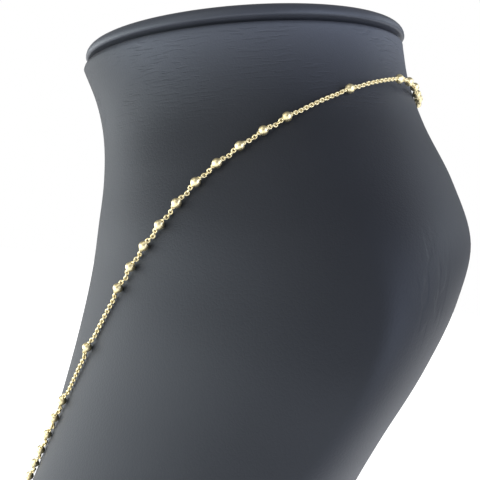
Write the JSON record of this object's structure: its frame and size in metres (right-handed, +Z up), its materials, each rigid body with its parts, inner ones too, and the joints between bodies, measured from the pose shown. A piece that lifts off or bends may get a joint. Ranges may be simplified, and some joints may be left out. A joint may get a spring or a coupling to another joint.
{
  "type": "rosary y-necklace on a neck bust",
  "caption": "Gold rosary y-necklace of fine chain and small round beads with a medal and a plain cross, draped on a dark leatherette neck bust with a capped neck.",
  "frame": {"origin": "middle of the whole object's box, at the bust's base", "axes": "+Z up, the bust faces -Y, and its own left side, which the picture shows, is +X"},
  "size_m": [0.183, 0.1616, 0.3113],
  "materials": {
    "leatherette": "dark blue-grey leatherette, fine grain, low sheen",
    "gold": "polished pale gold plate"
  },
  "bodies": {
    "root": {"bust_body": "leatherette", "neck_cap": "leatherette", "strand_left": "gold", "strand_right": "gold", "centre_medal": "gold", "drop_strand": "gold", "cross": "gold", "clasp": "gold"}
  },
  "joints": []
}
